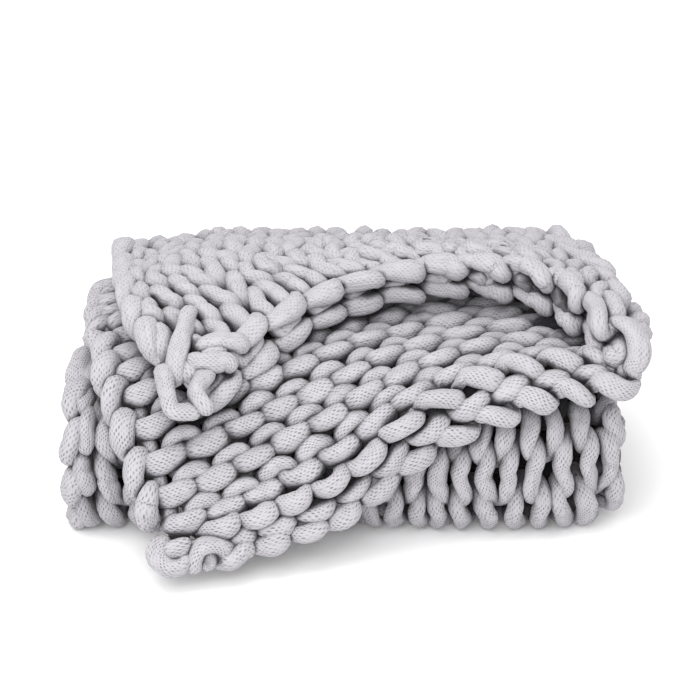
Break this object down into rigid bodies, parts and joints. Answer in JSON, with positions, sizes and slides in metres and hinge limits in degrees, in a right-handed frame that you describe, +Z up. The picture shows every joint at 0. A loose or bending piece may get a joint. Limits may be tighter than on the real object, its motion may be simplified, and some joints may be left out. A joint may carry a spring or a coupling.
{
  "type": "chunky knit blanket, folded",
  "caption": "Thick hand-knit throw folded into a low stack, with one corner flap spilling to the surface and the top layer drawn back in an arch.",
  "frame": {"origin": "centre of the underside of the object's box, on the surface that it lies on", "axes": "+Z up; -Y is the front, where the corner flap comes forward; +X runs along the stack to the closed fold"},
  "size_m": [0.6472, 0.5186, 0.2784],
  "materials": {
    "yarn": "matte tubular knitted yarn, light grey"
  },
  "bodies": {
    "root": {"blanket": "yarn"}
  },
  "joints": []
}
